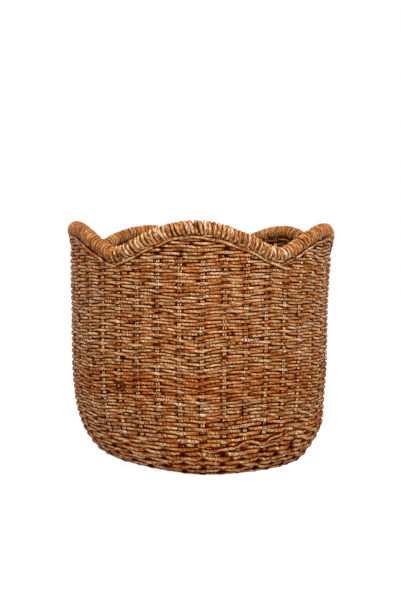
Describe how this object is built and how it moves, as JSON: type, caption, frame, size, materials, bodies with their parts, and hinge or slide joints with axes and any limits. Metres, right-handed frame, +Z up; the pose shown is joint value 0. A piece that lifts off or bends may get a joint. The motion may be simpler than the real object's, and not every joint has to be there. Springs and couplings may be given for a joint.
{
  "type": "woven basket",
  "caption": "Round banana leaf basket with a rounded foot, cane stakes, level and short-row weave, and a scalloped rim wrapped with leaf strips.",
  "frame": {"origin": "where the basket's axis meets the floor that it stands on", "axes": "+Z up along the basket's axis, the front of the picture towards -Y, +X to the viewer's right"},
  "size_m": [0.4557, 0.4558, 0.401],
  "materials": {
    "weave": "twisted dried banana leaf cord, mottled golden to dark brown, low sheen",
    "stake_cane": "pale peeled rattan cane, satin",
    "base_cane": "pale peeled rattan cane, satin",
    "rim_rod": "rattan rod, satin",
    "rim_wrap": "flat dried banana leaf strip, folded and crowned, low sheen"
  },
  "bodies": {
    "root": {"base_weave": "weave", "foot_weave": "weave", "side_weave": "weave", "scallop_weave_01": "weave", "scallop_weave_02": "weave", "scallop_weave_03": "weave", "scallop_weave_04": "weave", "scallop_weave_05": "weave", "base_stick_01": "base_cane", "base_stick_02": "base_cane", "base_stick_03": "base_cane", "base_stick_04": "base_cane", "base_stick_05": "base_cane", "base_stick_06": "base_cane", "base_stick_07": "base_cane", "base_stick_08": "base_cane", "base_stick_09": "base_cane", "base_stick_10": "base_cane", "stake_01": "stake_cane", "stake_02": "stake_cane", "stake_03": "stake_cane", "stake_04": "stake_cane", "stake_05": "stake_cane", "stake_06": "stake_cane", "stake_07": "stake_cane", "stake_08": "stake_cane", "stake_09": "stake_cane", "stake_10": "stake_cane", "stake_11": "stake_cane", "stake_12": "stake_cane", "stake_13": "stake_cane", "stake_14": "stake_cane", "stake_15": "stake_cane", "stake_16": "stake_cane", "stake_17": "stake_cane", "stake_18": "stake_cane", "stake_19": "stake_cane", "stake_20": "stake_cane", "stake_21": "stake_cane", "stake_22": "stake_cane", "stake_23": "stake_cane", "stake_24": "stake_cane", "stake_25": "stake_cane", "stake_26": "stake_cane", "stake_27": "stake_cane", "stake_28": "stake_cane", "stake_29": "stake_cane", "stake_30": "stake_cane", "stake_31": "stake_cane", "stake_32": "stake_cane", "stake_33": "stake_cane", "stake_34": "stake_cane", "stake_35": "stake_cane", "stake_36": "stake_cane", "stake_37": "stake_cane", "stake_38": "stake_cane", "stake_39": "stake_cane", "rim_rod": "rim_rod", "rim_wrap": "rim_wrap"}
  },
  "joints": []
}
